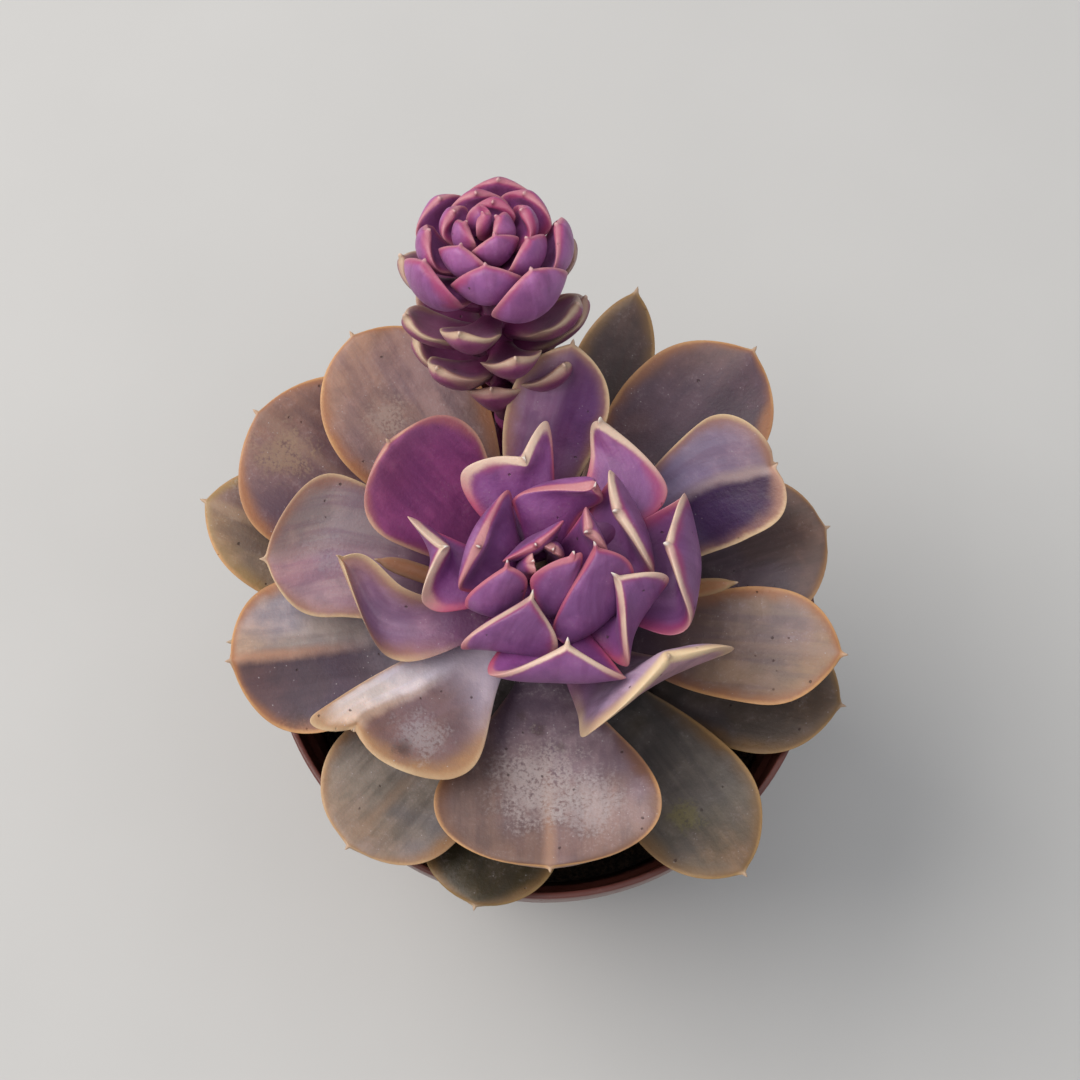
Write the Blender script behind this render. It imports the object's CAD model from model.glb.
import math

import bmesh
import bpy
import numpy as np
from mathutils import Matrix, Vector, noise


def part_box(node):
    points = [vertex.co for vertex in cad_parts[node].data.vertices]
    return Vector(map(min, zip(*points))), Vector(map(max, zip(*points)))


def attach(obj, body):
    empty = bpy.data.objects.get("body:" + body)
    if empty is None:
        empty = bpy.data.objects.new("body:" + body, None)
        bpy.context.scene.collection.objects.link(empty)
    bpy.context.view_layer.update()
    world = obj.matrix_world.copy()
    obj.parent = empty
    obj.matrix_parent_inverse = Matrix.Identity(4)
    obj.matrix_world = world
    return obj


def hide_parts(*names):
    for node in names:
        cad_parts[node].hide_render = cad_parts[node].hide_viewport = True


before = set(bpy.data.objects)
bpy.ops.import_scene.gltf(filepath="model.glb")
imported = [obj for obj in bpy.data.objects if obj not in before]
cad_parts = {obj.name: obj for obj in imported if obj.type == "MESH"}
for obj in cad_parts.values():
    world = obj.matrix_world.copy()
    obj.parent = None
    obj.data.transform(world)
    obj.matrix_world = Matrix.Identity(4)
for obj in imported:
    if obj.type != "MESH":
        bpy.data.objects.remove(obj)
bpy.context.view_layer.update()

# Sizes below are millimetres and are turned to metres when a mesh is made.

# Nursery pot: thin brown plastic, moulded in one piece, with a deep rim band, a tapered
# wall and drain holes in the floor. It is a turned wall with the holes cut through.
MM = 0.001
RIM_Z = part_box("pot")[1].z / MM
RIM_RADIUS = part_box("pot")[1].x / MM
BAND_LOW = RIM_Z - 9.0
BAND_STEP = 2.6
WALL_TOP = RIM_RADIUS - BAND_STEP
FOOT_RADIUS = 37.5
WALL = 1.2
FLOOR = 2.0
POT_STEPS = 160
DRAINS = 8
DRAIN_RADIUS = 3.5
DRAIN_CIRCLE = 24.0
SHARP_EDGE = 40.0


class Wire:
    """A shader socket on which plain maths can be written."""

    def __init__(self, finish, socket):
        self.finish, self.socket = finish, socket

    def maths(self, operation, *values):
        return self.finish.add("ShaderNodeMath", {"operation": operation}, *values)

    def __add__(self, other):
        return self.maths("ADD", self, other)

    def __sub__(self, other):
        return self.maths("SUBTRACT", self, other)

    def __rsub__(self, other):
        return self.maths("SUBTRACT", other, self)

    def __mul__(self, other):
        return self.maths("MULTIPLY", self, other)

    def __abs__(self):
        return self.maths("ABSOLUTE", self)

    __radd__, __rmul__ = __add__, __mul__

    def between(self, low, high):
        """0 below low and 1 above high, with a soft step between. It falls if low is above high."""
        return self.finish.add("ShaderNodeMapRange", {"interpolation_type": "SMOOTHSTEP"},
                               **{"Value": self, "From Min": low, "From Max": high})


class Finish:
    """A material whose Principled shader is fed by expressions."""

    def __init__(self, name, **sockets):
        self.material = bpy.data.materials.new(name)
        self.material.use_nodes = True
        self.tree = self.material.node_tree
        self.shader = self.tree.nodes["Principled BSDF"]
        self.point = self.add("ShaderNodeTexCoord", {}, out="Object")
        self.mm = self.add("ShaderNodeVectorMath", {"operation": "SCALE"}, self.point, Scale=1 / MM)
        self.feed(**sockets)

    def put(self, socket, value):
        if isinstance(value, Wire):
            self.tree.links.new(value.socket, socket)
        elif hasattr(value, "__len__") and len(value) == 3 and socket.type == "RGBA":
            socket.default_value = (*value, 1.0)
        else:
            socket.default_value = value

    def add(self, kind, settings, *values, out=0, **inputs):
        node = self.tree.nodes.new(kind)
        for key, value in settings.items():
            setattr(node, key, value)
        for socket, value in zip(node.inputs, values):
            self.put(socket, value)
        for key, value in inputs.items():
            self.put(node.inputs[key], value)
        return Wire(self, node.outputs[out])

    def mix(self, share, first, second, blend="MIX"):
        node = self.tree.nodes.new("ShaderNodeMix")
        node.data_type = "RGBA"
        node.blend_type = blend
        self.put(node.inputs["Factor"], share)
        self.put(node.inputs[6], first)
        self.put(node.inputs[7], second)
        return Wire(self, node.outputs[2])

    def noise(self, scale, detail=3.0, vector=None, rough=0.5):
        return self.add("ShaderNodeTexNoise", {}, out="Fac", Vector=vector or self.mm, Scale=scale,
                        Detail=detail, Roughness=rough)

    def attribute(self, name):
        return self.add("ShaderNodeAttribute", {"attribute_name": name}, out="Fac")

    def bump(self, height, depth_mm):
        """Relief from a 0 to 1 height, over depth_mm millimetres."""
        return self.add("ShaderNodeBump", {}, out="Normal", Strength=1.0, Distance=depth_mm * MM,
                        Height=height)

    def feed(self, **sockets):
        for key, value in sockets.items():
            self.put(self.shader.inputs[key.replace("_", " ")], value)
        return self


def place(bm, name, finish, nodes, smooth=True):
    """The bmesh, in millimetres, as a finished piece that stands for these CAD nodes."""
    bmesh.ops.scale(bm, vec=(MM, MM, MM), verts=bm.verts)
    mesh = bpy.data.meshes.new(name)
    bm.to_mesh(mesh)
    bm.free()
    if smooth:
        mesh.shade_smooth()
    else:
        mesh.shade_flat()
    mesh.materials.append(finish.material)
    piece = bpy.data.objects.new(name, mesh)
    bpy.context.scene.collection.objects.link(piece)
    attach(piece, "root")
    if nodes:
        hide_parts(*nodes)
    return piece


def turned(profile, steps):
    """A closed solid of revolution about Z from (radius, height) points, axis to axis."""
    bm = bmesh.new()
    verts = [bm.verts.new((radius, 0.0, height)) for radius, height in profile]
    edges = [bm.edges.new(pair) for pair in zip(verts, verts[1:])]
    bmesh.ops.spin(bm, geom=verts + edges, angle=2 * math.pi, steps=steps, axis=(0, 0, 1),
                   cent=(0, 0, 0), use_merge=True)
    bmesh.ops.remove_doubles(bm, verts=bm.verts, dist=0.001)
    bm.normal_update()
    bmesh.ops.recalc_face_normals(bm, faces=bm.faces)
    return bm


def rounded(corner, before, after, radius, steps=4):
    """The points of an arc that rounds a profile's corner."""
    c, a, b = Vector(corner), Vector(before), Vector(after)
    one, two = c + (a - c).normalized() * radius, c + (b - c).normalized() * radius
    return [tuple(one.lerp(c, t).lerp(c.lerp(two, t), t)) for t in np.linspace(0, 1, steps + 1)]


def soften(points, radii):
    """A profile with its corners rounded, each by its own radius."""
    out = [points[0]]
    for i in range(1, len(points) - 1):
        if radii[i] > 0:
            out += rounded(points[i], points[i - 1], points[i + 1], radii[i])
        else:
            out.append(points[i])
    return out + [points[-1]]


pot_profile = [
    (0, 0.0), (FOOT_RADIUS, 0.0), (WALL_TOP, BAND_LOW), (RIM_RADIUS - 0.5, BAND_LOW),
    (RIM_RADIUS, RIM_Z - 2.0), (RIM_RADIUS, RIM_Z), (RIM_RADIUS - WALL, RIM_Z),
    (RIM_RADIUS - 2 * WALL, BAND_LOW + 0.8), (WALL_TOP - WALL, BAND_LOW - 0.8),
    (FOOT_RADIUS - WALL, FLOOR), (0, FLOOR),
]
pot_radii = [0, 1.6, 0.4, 0.5, 0.6, 0.5, 0.4, 0.6, 0.6, 1.2, 0]
bm = turned(soften(pot_profile, pot_radii), POT_STEPS)

plastic = Finish("brown_pot_plastic", Specular_IOR_Level=0.45)
grain = plastic.noise(1.4, 4)
cloud = plastic.noise(0.05, 3)
scuff = plastic.noise(0.35, 6, rough=0.7).between(0.56, 0.72)
height = plastic.add("ShaderNodeSeparateXYZ", {}, plastic.mm, out="Z")
colour = plastic.mix(cloud.between(0.3, 0.7), (0.128, 0.037, 0.028), (0.150, 0.045, 0.034))
colour = plastic.mix(scuff * 0.22, colour, (0.34, 0.20, 0.17))
colour = plastic.mix(height.between(RIM_Z - 1.2, RIM_Z) * 0.30, colour, (0.18, 0.062, 0.056))
colour = plastic.mix(height.between(6.0, 0.0) * 0.4, colour, (0.20, 0.13, 0.10))
plastic.feed(Base_Color=colour, Roughness=0.32 + scuff * 0.22 + grain * 0.10,
             Normal=plastic.bump(grain * 0.6 + cloud, 0.06))
pot = place(bm, "nursery_pot", plastic, ["pot"])
for i in range(DRAINS):
    turn = 2 * math.pi * i / DRAINS
    hole = bmesh.new()
    bmesh.ops.create_cone(hole, cap_ends=True, segments=32, radius1=DRAIN_RADIUS * MM,
                          radius2=DRAIN_RADIUS * MM, depth=4 * FLOOR * MM)
    bmesh.ops.translate(hole, verts=hole.verts, vec=(DRAIN_CIRCLE * MM * math.cos(turn),
                                                     DRAIN_CIRCLE * MM * math.sin(turn), FLOOR / 2 * MM))
    mesh = bpy.data.meshes.new("drain")
    hole.to_mesh(mesh)
    hole.free()
    cutter = bpy.data.objects.new("drain", mesh)
    bpy.context.scene.collection.objects.link(cutter)
    cut = pot.modifiers.new("drain", "BOOLEAN")
    cut.operation, cut.solver, cut.object = "DIFFERENCE", "EXACT", cutter
    graph = bpy.context.evaluated_depsgraph_get()
    graph.update()
    pot.data = bpy.data.meshes.new_from_object(pot.evaluated_get(graph))
    pot.modifiers.clear()
    bpy.data.objects.remove(cutter)
pot.data.shade_smooth()
pot.data.set_sharp_from_angle(angle=math.radians(SHARP_EDGE))


# Potting mix: dark peat that fills the pot, with a crumbled top, loose crumbs and white
# perlite grains. The top is a dense disc pushed up and down by noise.
SOIL_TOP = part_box("soil")[1].z / MM
SOIL_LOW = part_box("soil")[0].z / MM
SOIL_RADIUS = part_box("soil")[1].x / MM
SOIL_RINGS = 90
SOIL_STEPS = 180
SOIL_BED = SOIL_TOP - 0.6
STEM_CLEAR = 11.0
CRUMBS = 420
PERLITE = 70


def soil_height(x, y):
    """Relief of the soil's top, from broad lumps to crumbs."""
    lump = noise.noise(Vector((x, y, 0.0)) * 0.07) * 1.2
    clod = noise.noise(Vector((x, y, 7.0)) * 0.30) * 0.75
    crumb = noise.noise(Vector((x, y, 3.0)) * 0.95) * 0.45
    return lump + clod + crumb - 1.2


slope = (WALL_TOP - FOOT_RADIUS) / BAND_LOW
rings = [(SOIL_RADIUS * (1 - i / SOIL_RINGS), SOIL_BED) for i in range(SOIL_RINGS)]
soil_foot = SOIL_RADIUS - slope * (SOIL_TOP - SOIL_LOW)
bm = turned([(0, SOIL_LOW), (soil_foot, SOIL_LOW), *rings, (0, SOIL_BED)], SOIL_STEPS)
for vert in bm.verts:
    if vert.co.z > SOIL_TOP - 1:
        inside = 1 - (math.hypot(vert.co.x, vert.co.y) / SOIL_RADIUS) ** 12
        vert.co.z += soil_height(vert.co.x, vert.co.y) * inside
peat = Finish("peat_mix", Specular_IOR_Level=0.25)
crumbs = peat.noise(1.1, 6, rough=0.65)
fibre = peat.noise(0.5, 4)
colour = peat.mix(crumbs.between(0.35, 0.7), (0.004, 0.003, 0.0025), (0.045, 0.028, 0.018))
colour = peat.mix(fibre.between(0.58, 0.70) * 0.6, colour, (0.085, 0.048, 0.025))
peat.feed(Base_Color=colour, Roughness=0.88 + crumbs * 0.1, Normal=peat.bump(crumbs + fibre, 0.5))
place(bm, "potting_mix", peat, ["soil"])


def scatter(name, count, small, large, finish, seed, sink):
    """Loose grains over the soil, each a lumpy little stone of its own size and turn."""
    rng = np.random.default_rng(seed)
    bm = bmesh.new()
    for i in range(count):
        size = small + (large - small) * rng.random() ** 2.2
        far = math.sqrt(rng.random()) * (SOIL_RADIUS - 2.5)
        if far < STEM_CLEAR:
            far += STEM_CLEAR
        turn = rng.random() * 2 * math.pi
        x, y = far * math.cos(turn), far * math.sin(turn)
        grain = bmesh.ops.create_icosphere(bm, subdivisions=1, radius=size / 2)["verts"]
        for vert in grain:
            vert.co *= 1 + 0.45 * noise.noise(vert.co * 1.3 / size + Vector((i, seed, 0)))
        tumble = Matrix.Rotation(rng.random() * 6, 3, Vector(rng.normal(size=3)))
        bmesh.ops.rotate(bm, verts=grain, matrix=tumble)
        bmesh.ops.scale(bm, verts=grain, vec=(1, 1, 0.75))
        bmesh.ops.translate(bm, verts=grain, vec=(x, y, SOIL_BED + soil_height(x, y) + size * sink))
    bm.normal_update()
    bmesh.ops.recalc_face_normals(bm, faces=bm.faces)
    return place(bm, name, finish, [], smooth=False)


scatter("soil_crumbs", CRUMBS, 0.7, 3.0, peat, 4, 0.18)
white = Finish("perlite_grain", Roughness=0.85)
pores = white.noise(2.2, 3)
white.feed(Base_Color=white.mix(pores.between(0.35, 0.65), (0.34, 0.29, 0.24), (0.72, 0.68, 0.62)),
           Normal=white.bump(pores, 0.3))
scatter("perlite", PERLITE, 0.6, 2.1, white, 9, 0.22)

# Main stem: short, thick and woody, ringed with the scars of fallen leaves. It is a rod
# pushed out by a spiral of low crescent scars and by bark noise.
STEM_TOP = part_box("stem")[1].z / MM
STEM_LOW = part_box("stem")[0].z / MM
STEM_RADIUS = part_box("stem")[1].x / MM
SCAR_RISE = 1.35
STEM_RINGS = 130
GOLDEN_ANGLE = math.radians(137.5)

step = (STEM_TOP - STEM_LOW - 2) / STEM_RINGS
bm = turned([(0, STEM_LOW), (STEM_RADIUS - 0.6, STEM_LOW),
             *[(STEM_RADIUS - 0.5, STEM_LOW + 1 + i * step) for i in range(STEM_RINGS + 1)],
             (STEM_RADIUS - 1.2, STEM_TOP), (0, STEM_TOP)], 96)
for vert in bm.verts:
    radius = math.hypot(vert.co.x, vert.co.y)
    if radius < STEM_RADIUS - 1.3:
        continue
    turn = math.atan2(vert.co.y, vert.co.x)
    row = (vert.co.z - STEM_LOW) / SCAR_RISE
    scar = 0.0
    for n in range(int(row) - 3, int(row) + 4):
        across = (turn - n * GOLDEN_ANGLE + math.pi) % (2 * math.pi) - math.pi
        up = (row - n) * SCAR_RISE
        scar = max(scar, math.exp(-((across / 0.55) ** 2) - ((up - 0.9 * across ** 2) / 0.8) ** 2))
    push = 0.45 * scar + 0.25 * noise.noise(vert.co * 0.4) - 0.25
    vert.co.x *= 1 + push / radius
    vert.co.y *= 1 + push / radius
bark = Finish("stem_bark", Specular_IOR_Level=0.3)
rough_bark = bark.noise(0.6, 6, rough=0.6)
ring = bark.noise(1.0, 3, vector=bark.add("ShaderNodeMapping", {}, bark.mm, Scale=(0.5, 0.5, 2.2)))
colour = bark.mix(rough_bark.between(0.3, 0.7), (0.075, 0.045, 0.028), (0.24, 0.165, 0.11))
colour = bark.mix(ring.between(0.5, 0.7) * 0.5, colour, (0.17, 0.15, 0.085))
bark.feed(Base_Color=colour, Roughness=0.8 + rough_bark * 0.15, Normal=bark.bump(rough_bark + ring, 0.35))
place(bm, "woody_stem", bark, ["stem"])


# Rosette leaves: thick, fleshy and waxy, each with a small spine at its tip, a pale margin
# and a bloom of farina. Each is a sphere with its poles at the foot and the tip, laid
# along a curved midrib and widened to the leaf's outline.
LEAF_ROOT = STEM_RADIUS + 0.1
LOWEST_LEAF = RIM_Z - 8.0
LEAF_RISE = 1.3
LEAF_BASE = 8.0
LEAF_THICK = 4.6
MARGIN_HALF = 0.42
SPINE_HALF = 0.50
UPPER_SHARE = 0.28
TIP_THIN = 0.62
FOOT_ROUND = 0.06
CURVE_STEPS = 241


def smoothstep(x):
    x = np.clip(x, 0.0, 1.0)
    return x * x * (3 - 2 * x)


def direction(heading, rise):
    """The unit vector at a heading about Z and a rise above the horizon, in degrees."""
    h, r = math.radians(heading), math.radians(rise)
    return np.array([math.cos(h) * math.cos(r), math.sin(h) * math.cos(r), math.sin(r)])


def midrib(s, turn, root, foot, tip, lift, end, reach, face):
    """The midrib's points, directions and level sideways vectors at the shares s of its length."""
    start = root * direction(turn, 0) + np.array([0, 0, foot])
    stop = np.array(tip, float)
    span = stop - start
    carry = float(np.linalg.norm(span)) * reach
    heading = math.degrees(math.atan2(span[1], span[0])) if face is None else face
    heading += 360 * round((turn - heading) / 360)
    one = start + direction(turn, lift) * carry
    two = stop - direction(heading, end) * carry
    t = np.linspace(0, 1, CURVE_STEPS)[:, None]
    path = (1 - t) ** 3 * start + 3 * t * (1 - t) ** 2 * one + 3 * t * t * (1 - t) * two + t ** 3 * stop
    way = np.gradient(path, axis=0)
    far = np.concatenate([[0], np.cumsum(np.linalg.norm(np.diff(path, axis=0), axis=1))])
    length = float(far[-1])
    points = np.stack([np.interp(s * length, far, path[:, i]) for i in range(3)], 1)
    along = np.stack([np.interp(s * length, far, way[:, i]) for i in range(3)], 1)
    along /= np.linalg.norm(along, axis=1)[:, None]
    at = np.radians(turn + (heading - turn) * s)
    side = np.stack([np.sin(at), -np.cos(at), 0 * at], 1)
    side -= (side * along).sum(1)[:, None] * along
    side /= np.linalg.norm(side, axis=1)[:, None]
    return points, along, side, length


def half_width(s, length, width, base, spine, belly, blunt, point):
    """Half the leaf's width along it, and how far its foot has rounded out."""
    half = width / 2
    cap = np.sqrt(np.clip(1 - (1 - np.clip(s / FOOT_ROUND, 0, 1)) ** 2, 0, 1))
    grown = base / width + (1 - base / width) * smoothstep(s / belly) ** 0.9
    last = 1 - spine / length
    closing = (1 - np.clip((s - belly) / (last - belly), 0, 1) ** blunt) ** point
    thorn = SPINE_HALF / half * np.clip((1 - s) / (1 - last), 0, 1) ** 0.7
    w = half * cap * (np.where(s > belly, closing, grown) ** 4 + thorn ** 4) ** 0.25
    pole = (s < 1e-4) | (s > 1 - 1e-4)
    return np.where(pole, 0.0, w), cap


def square_to(points, turn):
    """The level heading square to the line through two points, on the side of turn."""
    across = np.array(points[0], float) - np.array(points[1], float)
    out = np.array([across[1], -across[0], 0])
    if out @ direction(turn, 0) < 0:
        out = -out
    return math.degrees(math.atan2(out[1], out[0]))


def aimed(targets, side, points, s, belly):
    """Turns a leaf so that its margins pass two given points at its widest: its sideways
    vectors and width, and how far the middle between the points lies along and off them."""
    one, two = np.array(targets, float)
    half = (one - two) / 2
    if half @ side[np.argmin(np.abs(s - belly))] < 0:
        half = -half
    width = 2 * float(np.linalg.norm(half))
    half /= width / 2
    grown = smoothstep(s / belly)[:, None]
    side = side * (1 - grown) + half * grown
    side /= np.linalg.norm(side, axis=1)[:, None]
    order = np.argsort(s)
    middle = [np.interp(belly, s[order], points[order, i]) for i in range(3)]
    away = (one + two) / 2 - np.array(middle)
    shift = (away @ half) * half
    return side, width, shift, away - shift


def leaf_mesh(turn, root, foot, tip, width, level=0.0, thick=LEAF_THICK, lift=5.0, end=20.0, reach=0.4,
              cup=0.22, ridge=0.0, roll=0.0, keel=0.5, stay=0.7, base=LEAF_BASE, spine=1.3, face=None,
              belly=0.68, blunt=2.4, point=0.52, margin=MARGIN_HALF, tint=0.5, pale=1.0, seed=0,
              around=64, rings=56):
    """One leaf, with what its finish reads: how far along it a point lies, how far in from the
    margin and across in millimetres, which face it is on, and the leaf's own tint and paleness."""
    bm = bmesh.new()
    bmesh.ops.create_uvsphere(bm, u_segments=around, v_segments=rings, radius=1.0)
    mesh = bpy.data.meshes.new("leaf")
    bm.to_mesh(mesh)
    bm.free()
    co = np.empty(3 * len(mesh.vertices))
    mesh.vertices.foreach_get("co", co)
    co = co.reshape(-1, 3)
    ring = np.sqrt(np.clip(1 - co[:, 2] ** 2, 0, 1))
    open_ring = ring > 1e-4
    safe = np.where(open_ring, ring, 1.0)
    x = np.where(open_ring, co[:, 0] / safe, 0.0)
    y = np.where(open_ring, co[:, 1] / safe, 0.0)
    s = np.clip(1 - np.arccos(np.clip(co[:, 2], -1, 1)) / np.pi, 0, 1)
    s = 0.5 * s + 0.5 * (1 + co[:, 2]) / 2

    up = np.array([0, 0, level])
    aim = isinstance(width, tuple)
    if aim and face is None:
        face = square_to(width, turn)
    points, along, side, length = midrib(s, turn, root, foot, np.array(tip) + up, lift, end, reach, face)
    if aim:
        side, width, shift, sag = aimed(np.array(width) + up, side, points, s, belly)
    w, cap = half_width(s, length, width, base, spine, belly, blunt, point)
    uneven = 0.020 * np.sin(7.3 * s + 1.7 * seed) + 0.012 * np.sin(15.1 * s + 2.9 * seed + np.sign(x))
    w = w * (1 + uneven * np.abs(x) * smoothstep(s / 0.3) * smoothstep((0.97 - s) / 0.1))
    body = thick * (1 - TIP_THIN * s ** 1.6) * cap * np.clip(4 * w / width, 0, 1) ** 0.6
    edge = margin * cap * np.clip(w / 1.2, 0, 1) ** 0.5
    share = np.where(y > 0, UPPER_SHARE, 1 - UPPER_SHARE)
    off = (edge + share * body * np.abs(y)) * y
    full = smoothstep(s / 0.5) * (1 - 0.7 * smoothstep((s - 0.6) / 0.4))
    off += 0.026 * w * x * x * np.sin(9.0 * s + 2.1 * seed + 1.3 * np.sign(x)) * full
    off += 0.09 * smoothstep(s / 0.2) * np.sin(0.55 * x * w + 1.9 * seed) * np.sin(11 * s + seed)
    crease = (np.sqrt(x * x + 0.02) - 0.14) / 0.87
    above = np.cross(side, along)
    above /= np.linalg.norm(above, axis=1)[:, None]
    if not aim:
        off += cup * w * (2 * w / width) * x * x * full
        off -= ridge * smoothstep((s - 0.45) / 0.45) * w * crease
        turnby = np.radians(roll) * smoothstep(s / 0.6)
        c, k = np.cos(turnby)[:, None], np.sin(turnby)[:, None]
        side, above = c * side + k * above, c * above - k * side
    else:
        amount = np.where(s < belly, smoothstep(s / belly), np.clip(2 * w / width, 0, 1) ** stay)
        keen = keel * smoothstep((s - belly) / (1 - belly))
        points = points + shift * (smoothstep(s / belly) * smoothstep((1 - s) / (1 - belly)))[:, None]
        points = points + sag * (amount * ((1 - keen) * x * x + keen * crease))[:, None]
    where = points + side * (x * w)[:, None] + above * off[:, None]
    mesh.vertices.foreach_set("co", where.ravel())
    facts = {"along": s, "inward": w * (1 - np.abs(x)), "across": x * w, "upper": y,
             "tint": np.full(len(s), tint), "pale": np.full(len(s), pale)}
    for key, values in facts.items():
        mesh.attributes.new(key, "FLOAT", "POINT").data.foreach_set("value", values)
    return mesh


def gather(bm, mesh, matrix=None):
    """Adds a mesh to the bmesh, where the matrix puts it."""
    if matrix is not None:
        mesh.transform(matrix)
    bm.from_mesh(mesh)
    bpy.data.meshes.remove(mesh)


def closed(bm):
    bm.normal_update()
    bmesh.ops.recalc_face_normals(bm, faces=bm.faces)
    return bm


def leaf_finish(name, face, root, tip, under, margin, flush, flush_wide=4.6, margin_wide=1.1, bloom=0.5,
                second=None, spine=(0.50, 0.36, 0.26), sides=None, rib=None, red_margin=None, warm=0.5,
                marks=()):
    """Waxy leaf skin. root, face and tip follow it along; under is its lower face; flush is
    the warm band inside the margin, and margin its pale rim; bloom is how much farina it has.
    second is a face colour that the tint brings in, and sides dim the two sides of the midrib.
    rib is the midrib's colour. red_margin takes the margin's place away from the tip, and all
    along a leaf that isn't pale. warm is how far the sun has turned the face tan. marks are
    rough patches: x, y and radius in millimetres, colour and strength."""
    skin = Finish(name, Subsurface_Weight=0.08, Subsurface_Radius=(0.0020, 0.0009, 0.0007),
                  Subsurface_Scale=1.0, Specular_IOR_Level=0.42, Sheen_Weight=0.04, Sheen_Roughness=0.5)
    along, inward = skin.attribute("along"), skin.attribute("inward")
    across, upper = skin.attribute("across"), skin.attribute("upper")
    tint, pale = skin.attribute("tint"), skin.attribute("pale")
    close = inward * (2.3 - pale * 1.3)
    broad, patch = skin.noise(0.075, 2), skin.noise(0.30, 4, rough=0.6)
    fine = skin.noise(1.6, 3, rough=0.6)
    flow = skin.add("ShaderNodeCombineXYZ", {}, across * 0.42, along * 2.2, tint * 9.0)
    streak = skin.noise(1.0, 3, vector=flow, rough=0.6)
    if second is not None:
        face = skin.mix(tint, face, second)
    colour = skin.mix((along + (broad - 0.5) * 0.30).between(0.15, 0.60), root, face)
    colour = skin.mix((along + (patch - 0.5) * 0.16).between(0.72, 1.0) * 0.6, colour, tip)
    colour = skin.mix(upper.between(0.05, -0.35) * 0.85, colour, under)
    colour = skin.mix(streak.between(0.40, 0.66) * 0.34, colour, root)
    lighter = skin.mix(1.0, colour, (1.55, 1.50, 1.42), blend="MULTIPLY")
    colour = skin.mix((broad * 0.55 + patch * 0.45).between(0.42, 0.60) * 0.50, colour, lighter)
    aside = skin.add("ShaderNodeMapping", {}, skin.mm, Location=(90.0, 40.0, 0.0))
    sunned = skin.noise(0.055, 2, vector=aside) + (along - 0.6) * 0.25
    warmer = skin.mix(1.0, colour, (1.22, 1.10, 0.72), blend="MULTIPLY")
    colour = skin.mix(sunned.between(0.42, 0.62) * warm, colour, warmer)
    powder = (broad * 0.45 + patch * 0.55 + (fine - 0.5) * 0.25).between(0.46, 0.68) * bloom
    colour = skin.mix(powder * 0.15, colour, (0.40, 0.33, 0.36))
    dust = (fine + (patch - 0.5) * 0.7).between(0.60, 0.74) * bloom
    colour = skin.mix(dust * 0.16, colour, (0.54, 0.47, 0.48))
    if sides is not None:
        half = (across + (patch - 0.5) * 2.0).between(-1.8, 1.8)
        colour = skin.mix(along.between(0.25, 0.60), colour,
                          skin.mix(1.0, colour, skin.mix(half, *sides), blend="MULTIPLY"))
    if rib is not None:
        line = abs(across + (patch - 0.5) * 1.2).between(1.9, 0.0) * along.between(0.40, 0.85)
        colour = skin.mix(line * 0.65, colour, rib)
    near = (close + (patch - 0.5) * 1.6 + (broad - 0.5) * 4.0).between(flush_wide, 0.3)
    colour = skin.mix(near * near * along.between(0.15, 0.60) * 0.90, colour, flush)
    flat = skin.add("ShaderNodeVectorMath", {"operation": "MULTIPLY"}, skin.mm, (1.0, 1.0, 0.0))
    for x, y, radius, shade, strength in marks:
        far = skin.add("ShaderNodeVectorMath", {"operation": "DISTANCE"}, flat, (x, y, 0.0), out="Value")
        spot = (far + (patch - 0.5) * (2.6 * radius)).between(radius * 1.3, radius * 0.2)
        rough = (fine + (patch - 0.5) * 0.8 + spot * 0.25).between(0.46, 0.76)
        colour = skin.mix(spot * rough * strength, colour, shade)
    cells = skin.add("ShaderNodeTexVoronoi", {"feature": "F1"}, out="Distance", Vector=skin.mm, Scale=0.33,
                     Randomness=1.0)
    chosen = skin.add("ShaderNodeTexVoronoi", {"feature": "F1"}, out="Color", Vector=skin.mm, Scale=0.33,
                      Randomness=1.0)
    chosen = skin.add("ShaderNodeSeparateColor", {}, chosen, out="Red")
    scar = (cells + (fine - 0.5) * 0.16).between(0.11, 0.05) * chosen.between(0.58, 0.64)
    colour = skin.mix(scar * 0.7, colour, (0.045, 0.022, 0.020))
    flecks = skin.add("ShaderNodeTexVoronoi", {"feature": "F1"}, out="Distance", Vector=skin.mm, Scale=0.9,
                      Randomness=1.0)
    fleck = (flecks + (fine - 0.5) * 0.2).between(0.15, 0.05) * patch.between(0.51, 0.60) * bloom
    colour = skin.mix(fleck * 0.75, colour, (0.62, 0.57, 0.58))
    rim = (close + (fine - 0.5) * 0.3 + (patch - 0.5) * 0.7).between(margin_wide, 0.0)
    rim = rim * along.between(0.12, 0.50) * (0.35 + broad.between(0.35, 0.60) * 0.60)
    if red_margin is not None:
        margin = skin.mix(pale * along.between(0.45, 0.90), red_margin, margin)
        rim = rim.between(0.0, 0.6)
    colour = skin.mix(rim * 0.95, colour, margin)
    thorn = along.between(0.966, 0.990) * inward.between(1.2, 0.4)
    colour = skin.mix(thorn * 0.8, colour, spine)
    relief = fine * 0.5 + patch * 0.7 + streak * 0.45 - scar * 0.9 + fleck * 0.4
    skin.feed(Base_Color=colour, Roughness=0.36 + powder * 0.25 + fine * 0.14 - rim * 0.04,
              Normal=skin.bump(relief, 0.14))
    return skin


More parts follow.
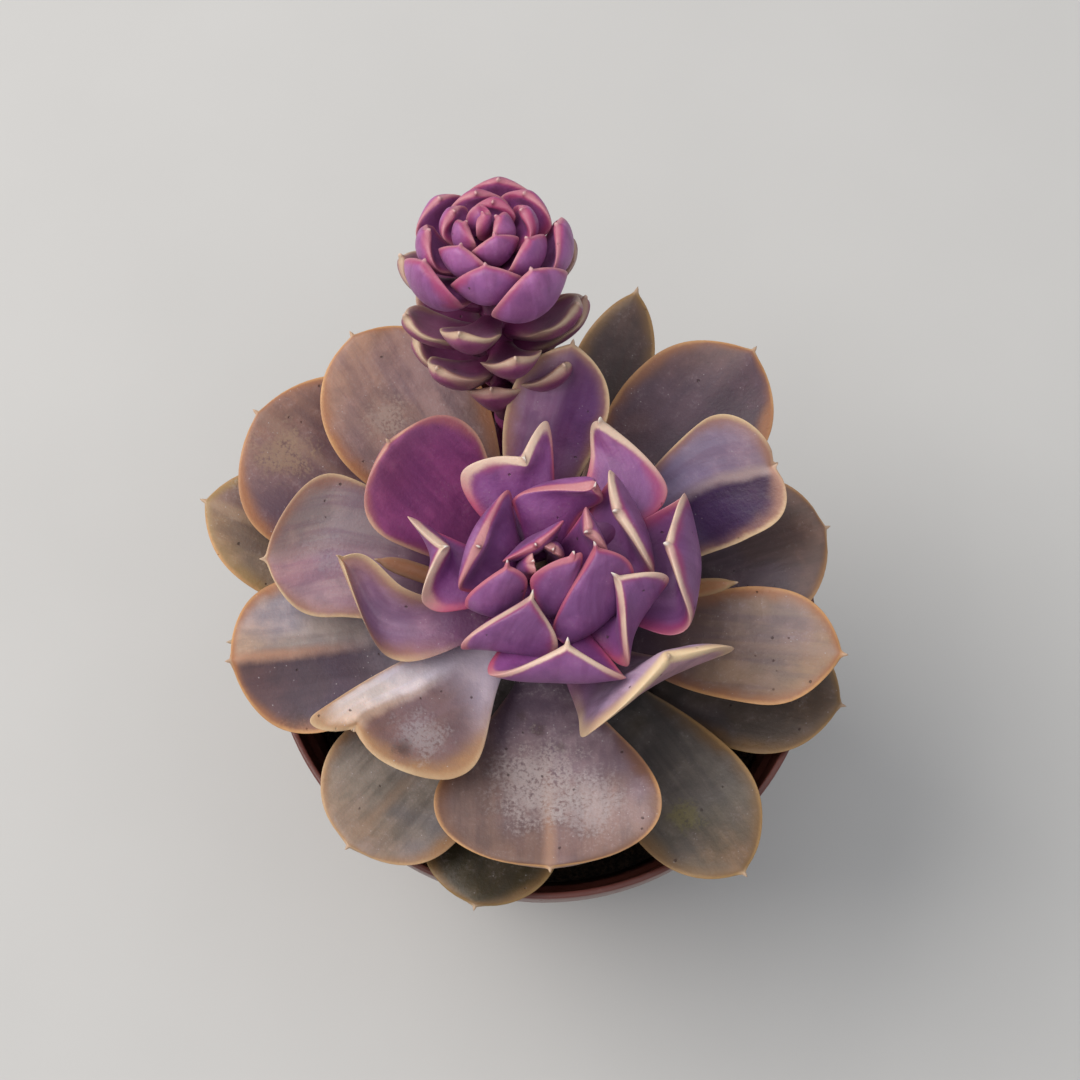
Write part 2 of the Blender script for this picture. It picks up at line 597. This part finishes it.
OUTER = dict(face=(0.20, 0.125, 0.145), root=(0.080, 0.048, 0.078), tip=(0.29, 0.165, 0.125),
             under=(0.24, 0.12, 0.11), margin=(0.60, 0.32, 0.135), flush=(0.36, 0.150, 0.066), bloom=0.6)
LILAC = dict(warm=0.25, face=(0.25, 0.14, 0.22), root=(0.13, 0.040, 0.115), tip=(0.34, 0.20, 0.18),
             under=(0.27, 0.10, 0.17), margin=(0.70, 0.50, 0.30), flush=(0.38, 0.19, 0.13), bloom=0.45)
GREEN = dict(face=(0.115, 0.090, 0.066), root=(0.038, 0.032, 0.032), tip=(0.16, 0.085, 0.04),
             under=(0.15, 0.095, 0.05), margin=(0.42, 0.25, 0.10), flush=(0.21, 0.115, 0.045), bloom=0.35)
MAGENTA = dict(face=(0.205, 0.048, 0.155), root=(0.11, 0.018, 0.09), tip=(0.26, 0.075, 0.17),
               under=(0.26, 0.08, 0.20), margin=(0.66, 0.38, 0.26), flush=(0.36, 0.10, 0.13), bloom=0.15,
               flush_wide=3.0)
BRACT = dict(thick=1.6, base=2.4, lift=12, cup=0.1, end=24)
CHALK = (0.68, 0.64, 0.66)
SCORCH = (0.050, 0.026, 0.024)

# Rows: rank up the stem, heading, tip (x, y, height over the rim), width or widest margin
# points, record slot, shape, palette and changed colours, as the leaves stand in the photograph
ROSETTE = {
    "leaf_01": (3.3, 165, (-65.5, 21.5, 13), 26, "leaf_outer", dict(lift=2, end=12, point=0.7, cup=0.12),
                OUTER, dict(face=(0.20, 0.135, 0.120), sides=((1.0, 1.05, 0.85), (1.0, 1.0, 1.0)),
                            flush=(0.32, 0.20, 0.08),
                            rib=(0.40, 0.27, 0.18),
                            marks=((-56, 24, 4.0, CHALK, 0.2),))),
    "leaf_02": (8.6, 147, (-55.5, 38.0, 17.5), 37, "leaf_outer", dict(lift=6, end=20, point=0.6),
                OUTER, dict(face=(0.137, 0.075, 0.098), rib=(0.30, 0.18, 0.14),
                            marks=((-46, 16, 3.4, CHALK, 0.6), (-50, 30, 7.0, (0.34, 0.22, 0.15), 0.8)))),
    "leaf_03": (14.4, 126, (-37.0, 52.0, 22.5), 30, "leaf_outer", dict(lift=14, end=24, point=0.58),
                OUTER, dict(face=(0.255, 0.158, 0.158), tip=(0.36, 0.21, 0.15),
                            marks=((-30, 36, 5.0, (0.40, 0.29, 0.25), 0.7), (-19, 33, 3.0, SCORCH, 0.4)))),
    "leaf_04": (-1, 186, (-60.5, -4.5, 5), 15, "leaf_green", dict(lift=10, end=5, cup=0.1),
                GREEN, dict(face=(0.26, 0.20, 0.06), margin=(0.42, 0.34, 0.10))),
    "leaf_05": (12, 192, (-58.5, -12.0, 20), 31, "leaf_outer", dict(lift=5, end=22, point=0.7, ridge=0.3),
                OUTER, dict(face=(0.31, 0.275, 0.315), root=(0.17, 0.135, 0.165),
                            sides=((0.28, 0.22, 0.30), (1.0, 1.0, 1.0)), rib=(0.55, 0.29, 0.18),
                            tip=(0.46, 0.28, 0.19), bloom=0.7,
                            marks=((-46, -22, 3.0, SCORCH, 0.35),))),
    "leaf_06": (17, 168, (-52, 5.5, 27), ((-37.5, 20.5, 30), (-36, -3.5, 19.5)), "leaf_lilac",
                dict(lift=8, end=25, belly=0.66, keel=0.4, point=0.62),
                LILAC, dict(face=(0.30, 0.235, 0.26), sides=((1.20, 1.05, 1.20), (1.0, 1.0, 1.0)),
                            rib=(0.38, 0.24, 0.24),
                            marks=((-40, 8, 5.0, CHALK, 0.15),))),
    "leaf_07": (25, 199, (-37.5, 4.5, 33), ((-25, -1.5, 31.5), (-28, -13, 28)), "leaf_lilac",
                dict(lift=5, end=55, belly=0.62, thick=3.6, keel=0.8, point=0.7),
                LILAC, dict(face=(0.28, 0.160, 0.27), tip=(0.54, 0.33, 0.24), margin_wide=1.5)),
    "leaf_08": (19.4, 171, (-31.0, 5.2, 28), 3.5, "leaf_outer", BRACT,
                OUTER, dict(face=(0.36, 0.20, 0.14), root=(0.28, 0.13, 0.10), margin=(0.42, 0.25, 0.16))),
    "leaf_09": (22, 138, (-28.5, 24.5, 39), 26, "leaf_heart", dict(lift=15, end=50),
                MAGENTA, dict(face=(0.240, 0.048, 0.170), flush=(0.36, 0.10, 0.13), warm=0.2)),
    "leaf_11": (19, 98, (5.2, 41.5, 44.5), 18, "leaf_lilac", dict(lift=25, end=50, point=0.75),
                LILAC, dict(face=(0.25, 0.145, 0.27), sides=((1.0, 1.0, 1.0), (0.39, 0.23, 0.44)),
                            root=(0.16, 0.032, 0.14),
                            tip=(0.34, 0.22, 0.22))),
    "leaf_12": (6, 79, (18.5, 66.5, 10), 16, "leaf_green", dict(lift=5, end=18, point=0.8),
                GREEN, dict(face=(0.044, 0.021, 0.022), tip=(0.095, 0.052, 0.036))),
    "leaf_13": (11, 60, (40.5, 49.5, 21), 29, "leaf_outer", dict(lift=8, end=24, point=0.75),
                OUTER, dict(face=(0.102, 0.054, 0.078), sides=((1.0, 1.0, 1.0), (0.62, 0.55, 0.66)),
                            tip=(0.17, 0.100, 0.095))),
    "leaf_14": (16, 34, (42.5, 22.0, 33), ((28.5, 29, 35.5), (37, 9.5, 27)), "leaf_lilac",
                dict(lift=12, end=30, belly=0.66, keel=0.7, point=0.6),
                LILAC, dict(face=(0.25, 0.20, 0.32), root=(0.17, 0.090, 0.17),
                            sides=((1.0, 1.0, 1.0), (0.14, 0.055, 0.18)), rib=(0.48, 0.35, 0.32),
                            tip=(0.36, 0.25, 0.28))),
    "leaf_15": (8, 19, (54.0, 15.5, 15), 29, "leaf_green", dict(lift=5, end=20, point=0.55, cup=0.14),
                GREEN, dict(face=(0.130, 0.088, 0.108), tip=(0.17, 0.090, 0.065),
                            margin=(0.48, 0.27, 0.13),
                            flush=(0.26, 0.13, 0.06), flush_wide=3.0)),
    "leaf_16": (19.5, 3, (35.5, 1.8, 24.5), 3.5, "leaf_outer", BRACT,
                OUTER, dict(face=(0.30, 0.19, 0.10), root=(0.20, 0.10, 0.07), margin=(0.36, 0.24, 0.12))),
    "leaf_21": (18, 304, (21.5, -16.5, 43), ((33, -14, 38), (7.5, -29, 33)), "leaf_lilac",
                dict(lift=5, end=80, reach=0.45, belly=0.72, keel=0.9, blunt=2.0, point=0.95, stay=0.8,
                     margin=0.7),
                LILAC, dict(face=(0.36, 0.25, 0.42), tip=(0.44, 0.34, 0.44), margin=(0.74, 0.56, 0.34),
                            margin_wide=3.4, flush_wide=5.0, under=(0.36, 0.19, 0.22))),
    "leaf_33": (15, 271, (1.0, -51.0, 22), 40, "leaf_outer", dict(lift=5, end=22, belly=0.7),
                OUTER, dict(face=(0.215, 0.150, 0.172), tip=(0.145, 0.074, 0.058),
                            root=(0.080, 0.050, 0.080),
                            flush=(0.19, 0.088, 0.050), sides=((1.0, 1.0, 1.0), (0.74, 0.70, 0.64)),
                            rib=(0.42, 0.24, 0.16), bloom=0.8,
                            marks=((-1, -24, 1.8, SCORCH, 0.6), (3, -27, 1.4, SCORCH, 0.5),
                                   (-4, -21, 1.4, SCORCH, 0.5), (8, -38, 8.0, CHALK, 0.25),
                                   (-1, -34, 10.0, (0.44, 0.37, 0.36), 0.65)))),
    "leaf_34": (20, 219, (-34, -27, 30), ((-38, -22.5, 31), (-14.5, -33.5, 24)), "leaf_lilac",
                dict(lift=8, end=30, belly=0.62, keel=0.8, blunt=2.2, point=0.7),
                LILAC, dict(face=(0.36, 0.29, 0.32), sides=((0.48, 0.37, 0.36), (1.75, 1.90, 1.80)),
                            tip=(0.46, 0.27, 0.18),
                            root=(0.44, 0.37, 0.47), rib=(0.50, 0.32, 0.22), flush=(0.46, 0.25, 0.12),
                            bloom=0.8,
                            marks=((-22, -27, 5.5, CHALK, 0.3), (-25, -30, 2.4, SCORCH, 0.6)))),
    "leaf_35": (7, 232, (-36.5, -45.0, 10), 30, "leaf_green", dict(lift=3, end=18, point=0.54),
                GREEN, dict(face=(0.205, 0.182, 0.190), tip=(0.26, 0.16, 0.110),
                            margin=(0.50, 0.31, 0.16),
                            flush=(0.32, 0.17, 0.08), rib=(0.30, 0.20, 0.14), bloom=0.7)),
    "leaf_36": (1.5, 257, (-13.0, -55.5, 5), 26, "leaf_green", dict(lift=8, end=12, point=0.58, cup=0.12),
                GREEN, dict(face=(0.025, 0.020, 0.009), tip=(0.055, 0.038, 0.016),
                            margin=(0.30, 0.19, 0.07))),
    "leaf_37": (-1.5, 286, (13.0, -43.0, -3), 18, "leaf_outer", dict(lift=-2, end=15),
                OUTER, dict(face=(0.26, 0.11, 0.06), tip=(0.34, 0.14, 0.08))),
    "leaf_38": (5, 311, (37.0, -50.0, 10), 24.5, "leaf_green", dict(lift=3, end=18, point=0.72),
                GREEN, dict(face=(0.118, 0.102, 0.090), root=(0.036, 0.034, 0.038),
                            tip=(0.18, 0.09, 0.045),
                            marks=((26, -38, 4.0, (0.26, 0.22, 0.07), 0.5),))),
    "leaf_39": (13, 345, (55.0, -12.0, 25), 23, "leaf_outer", dict(lift=8, end=24, point=0.8),
                OUTER, dict(face=(0.20, 0.135, 0.110), sides=((1.15, 1.20, 1.30), (1.0, 1.0, 1.0)),
                            tip=(0.24, 0.145, 0.09),
                            rib=(0.29, 0.19, 0.15))),
    "leaf_40": (0, 342, (57.0, -17.0, 5), 26, "leaf_green", dict(lift=8, end=12, point=0.7, cup=0.12),
                GREEN, dict(face=(0.082, 0.066, 0.068), tip=(0.15, 0.09, 0.06))),
}
for number, (name, row) in enumerate(ROSETTE.items()):
    rank, turn, tip, width, slot, shape, palette, change = row
    bm = bmesh.new()
    gather(bm, leaf_mesh(turn, LEAF_ROOT, LOWEST_LEAF + LEAF_RISE * rank, tip, width, level=RIM_Z,
                         seed=number, **shape))
    place(closed(bm), "rosette_" + name, leaf_finish(name + "_skin", **(palette | change)), [name])


# Heart: the crowded young leaves, which stand up and curl in over the growing point. Their
# ends are creased into a wedge, so the thick pale margins run out from each spine.
HEART_FOOT = RIM_Z + 28.0
HEART_RISE = 0.25
HEART_ROOT = 4.0
HEART_TOP_LEAF = 28
HEART_SHAPE = dict(belly=0.62, blunt=2.0, point=1.0, thick=3.8, base=7.0, rings=52, around=56,
                   margin=0.75)
INNER = dict(root=3.0, base=5.0, thick=2.4, pale=0.15, margin=0.55)
BUD = dict(root=2.3, base=3.6, thick=2.2, spine=1.2, lift=52, end=100, rings=28, around=32, pale=0.4,
           margin=0.4, tint=0.6)
HEART = (
    (10, 106, (-3.5, 20, 41), ((-15, 17, 37), (1, 26.5, 38)),
     dict(lift=35, end=95, belly=0.66, blunt=3, tint=0.15)),
    (17, 48, (10, 28.5, 39), ((8.5, 22, 34), (22, 15.5, 36)), dict(lift=25, end=75, tint=0.55)),
    (18, 24, (12, 9, 45), ((11.5, 16.5, 42), (19.5, -1, 38)),
     dict(lift=0, end=120, reach=0.75, blunt=3, tint=0.8)),
    (19, 0, (21, 4, 42), ((24, 13.5, 38), (24.5, -10.5, 35)),
     dict(lift=-10, end=125, reach=0.95, point=0.9, tint=0.8)),
    (20, 330, (11.5, -2.5, 46), ((22, -2.5, 40), (14.5, -16.5, 37)),
     dict(lift=-5, end=135, reach=0.85, tint=0.7)),
    (22, 273, (4, -13.5, 44), ((-10, -19, 38), (14.5, -19.5, 38)),
     dict(lift=-5, end=140, reach=0.80, blunt=1.5, point=1.15, tint=0.25)),
    (23, 240, (-2, -5.5, 46), ((-14.5, -13.5, 39), (2, -15, 38)),
     dict(lift=-5, end=140, reach=0.95, keel=0.8, tint=0.9)),
    (24, 186, (-17, 3.5, 42), ((-23.5, 9, 39), (-20.5, -6, 36)),
     dict(lift=0, end=110, reach=0.65, blunt=2.6, tint=0.2)),
    (25, 162, (-11.5, 2.5, 45), ((-6.5, 14, 41), (-15, -3.5, 38)),
     dict(lift=20, end=100, reach=0.55, point=0.8, tint=0.65, pale=0.35)),
    (26, 86, (9, 14, 45), ((-5, 13.5, 40), (7.5, 11, 38)),
     dict(lift=30, end=90, reach=0.5, blunt=2, point=0.7, stay=0.4, tint=0.2, pale=0.3)),
    (27, 30, (7, 4.5, 47), ((7, 9.5, 45), (11, 2, 43)),
     dict(lift=35, end=115, reach=0.5, thick=2.4, tint=0.4, pale=0.4)),
    (28, 308, (8.5, 2.5, 48), ((15.5, -2, 42), (1.5, -10.5, 39)),
     dict(lift=-5, end=130, reach=0.75, tint=0.5, pale=0.1)),
    (29, 110, (-1.5, 2.5, 46), ((3.5, 7, 45), (-7.5, 0.5, 42)), INNER | dict(lift=25, end=85, tint=0.2)),
    (30, 215, (-6.5, -0.5, 47), ((-14, -6, 40), (-3, -4, 42)),
     INNER | dict(lift=-5, end=135, reach=0.8, tint=0.4)),
    (31, 290, (5, 1, 47), ((-2.5, -3.5, 44), (6.5, -0.5, 44)),
     INNER | dict(lift=10, end=125, reach=0.6, tint=0.1)),
    (32, 50, (1.5, 2, 45), ((-1, 3.5, 43), (3, 1, 43)), BUD),
    (41, 175, (-2, 0, 44.5), ((-2.5, 2.5, 43), (-1.5, -2, 43)), BUD),
    (42, 293, (1, -1.5, 44.5), ((-1.5, -2, 43), (3, 0, 43)), BUD),
)
bm = bmesh.new()
for number, turn, tip, width, shape in HEART:
    foot = HEART_FOOT + HEART_RISE * min(number, HEART_TOP_LEAF)
    gather(bm, leaf_mesh(turn, foot=foot, tip=tip, width=width, level=RIM_Z, seed=number,
                         **(dict(root=HEART_ROOT) | HEART_SHAPE | shape)))
heart_skin = leaf_finish("heart_skin", face=(0.17, 0.038, 0.172), second=(0.265, 0.104, 0.29),
                         root=(0.12, 0.020, 0.11), tip=(0.29, 0.11, 0.23), under=(0.22, 0.080, 0.235),
                         margin=(0.74, 0.55, 0.42), red_margin=(0.45, 0.085, 0.165),
                         flush=(0.33, 0.046, 0.145),
                         flush_wide=3.4, margin_wide=1.8, bloom=0.20, warm=0.1, spine=(0.82, 0.76, 0.70))
place(closed(bm), "heart_leaves", heart_skin, ["heart"])


# Side shoot: a thin stem that leans back, with leaves in one golden-angle spiral, spaced
# on the stem and close in the head. The head's leaves are pinker and the stem's greyer.
SHOOT_FOOT = (-6.9, 37.0)
SHOOT_RADIUS = 2.6
SHOOT_SUNK = 12.0
SHOOT_BEND = RIM_Z + 19.0
SHOOT_LEAN = 28.0
SHOOT_HEADING = 100.0
SHOOT_STEM_LEAVES = 14
SHOOT_HEAD_LEAVES = 18
SHOOT_HEAD_FOOT = 31.0
SHOOT_HEAD_OUT = 13.8
SHOOT_LEAF = dict(base=4.5, spine=1.0, blunt=2.0, point=0.7, around=44, rings=36, margin=0.5)
SHOOT_LOWEST_LEAF = -4
SHOOT_LEAF_RISE = 1.25
SHOOT_LEAF_OUT = 16.8
lean_axis = Vector(direction(SHOOT_HEADING + 90, 0))
SHOOT_FRAME = (Matrix.Translation((*SHOOT_FOOT, SHOOT_BEND))
               @ Matrix.Rotation(math.radians(SHOOT_LEAN), 4, lean_axis))


def shoot_leaf(bm, number, foot, out, up, width, **shape):
    turn = (180.0 + math.degrees(GOLDEN_ANGLE) * number) % 360
    tip = out * direction(turn, 0) + np.array([0, 0, up])
    gather(bm, leaf_mesh(turn, 1.5, foot, tip, width, seed=number, tint=(number * 0.41) % 1.0,
                         **(SHOOT_LEAF | shape)), SHOOT_FRAME)


def turned_mesh(profile, steps):
    solid = turned(profile, steps)
    mesh = bpy.data.meshes.new("turned")
    solid.to_mesh(mesh)
    solid.free()
    return mesh


bm = bmesh.new()
for n in range(SHOOT_LOWEST_LEAF, SHOOT_STEM_LEAVES):
    foot = 10.5 + SHOOT_LEAF_RISE * n
    out = min(SHOOT_LEAF_OUT, 10.0 + 1.4 * (n - SHOOT_LOWEST_LEAF))
    shoot_leaf(bm, n, foot, out, foot + 9.5, 11, lift=8, end=70, thick=3.4, cup=0.35)
low, top = SOIL_TOP - SHOOT_SUNK, SHOOT_HEAD_FOOT
gather(bm, turned_mesh([(0, 0), (SHOOT_RADIUS, 0), (SHOOT_RADIUS, top), (0, top)], 32), SHOOT_FRAME)
gather(bm, turned_mesh([(0, low), (SHOOT_RADIUS, low), (SHOOT_RADIUS, SHOOT_BEND + 1),
                        (0, SHOOT_BEND + 1.5)], 32), Matrix.Translation((*SHOOT_FOOT, 0)))
shoot_skin = leaf_finish("shoot_stem_skin", face=(0.21, 0.050, 0.16), second=(0.27, 0.13, 0.20),
                         root=(0.17, 0.022, 0.10), tip=(0.33, 0.21, 0.18), under=(0.20, 0.035, 0.12),
                         margin=(0.58, 0.43, 0.29), flush=(0.34, 0.16, 0.15), flush_wide=2.4,
                         margin_wide=0.9,
                         bloom=0.25, warm=0.1, spine=(0.7, 0.5, 0.4))
place(closed(bm), "shoot_stem_leaves", shoot_skin, ["shoot_stem"])

bm = bmesh.new()
for n in range(SHOOT_HEAD_LEAVES):
    f = n / (SHOOT_HEAD_LEAVES - 1)
    shoot_leaf(bm, SHOOT_STEM_LEAVES + n, SHOOT_HEAD_FOOT + 1 + 9 * f,
               SHOOT_HEAD_OUT * (1 - f) ** 0.8 + 0.6, SHOOT_HEAD_FOOT + 13 + 3 * f, 16.0 - 9.5 * f,
               lift=50 * f - 5, end=110 + 20 * f, thick=3.4 - f, reach=0.58, cup=0.25, spine=0.7)
head_skin = leaf_finish("shoot_head_skin", face=(0.20, 0.038, 0.175), second=(0.30, 0.105, 0.30),
                        root=(0.10, 0.011, 0.07), tip=(0.30, 0.095, 0.24), under=(0.31, 0.105, 0.30),
                        margin=(0.54, 0.22, 0.26), flush=(0.38, 0.055, 0.15), flush_wide=3.0,
                        margin_wide=0.9,
                        bloom=0.25, warm=0.1, spine=(0.62, 0.38, 0.38))
place(closed(bm), "shoot_head_leaves", head_skin, ["shoot_head"])


# Table and light: a plain pale surface, a broad soft light from the upper left and a dim
# even fill, with the camera looking down as in the photograph.
CAMERA_AT = (-0.8, -113.1, RIM_Z + 428.9)
CAMERA_TILT = 16.91
CAMERA_LENS = 76.67

bm = bmesh.new()
bmesh.ops.create_grid(bm, x_segments=1, y_segments=1, size=3.0)
mesh = bpy.data.meshes.new("table")
bm.to_mesh(mesh)
bm.free()
table = bpy.data.objects.new("table", mesh)
bpy.context.scene.collection.objects.link(table)
cloth = Finish("pale_table", Roughness=0.9)
soft = cloth.noise(0.02, 3)
cloth.feed(Base_Color=cloth.mix(soft, (0.545, 0.54, 0.53), (0.585, 0.58, 0.57)))
mesh.materials.append(cloth.material)


def soft_light(name, at, size, power, colour):
    lamp = bpy.data.lights.new(name, "AREA")
    lamp.size = size
    lamp.energy = power
    lamp.color = colour
    light = bpy.data.objects.new(name, lamp)
    light.location = at
    light.rotation_euler = (-Vector(at) + Vector((0, 0, 0.1))).to_track_quat("-Z", "Y").to_euler()
    bpy.context.scene.collection.objects.link(light)


soft_light("window", (-0.90, 0.28, 1.20), 1.2, 19.0, (1.0, 0.955, 0.90))
soft_light("overhead", (0.10, -0.10, 1.70), 2.2, 9.0, (0.97, 0.98, 1.0))
world = bpy.data.worlds.new("room")
world.use_nodes = True
world.node_tree.nodes["Background"].inputs["Color"].default_value = (0.93, 0.96, 1.0, 1.0)
world.node_tree.nodes["Background"].inputs["Strength"].default_value = 0.40
bpy.context.scene.world = world
bpy.context.scene.view_settings.view_transform = "Standard"

lens = bpy.data.cameras.new("camera")
lens.lens = CAMERA_LENS
lens.sensor_width = 36.0
lens.clip_start = 0.01
camera = bpy.data.objects.new("camera", lens)
camera.location = [v * MM for v in CAMERA_AT]
camera.rotation_euler = (math.radians(CAMERA_TILT), 0, 0)
bpy.context.scene.collection.objects.link(camera)
bpy.context.scene.camera = camera
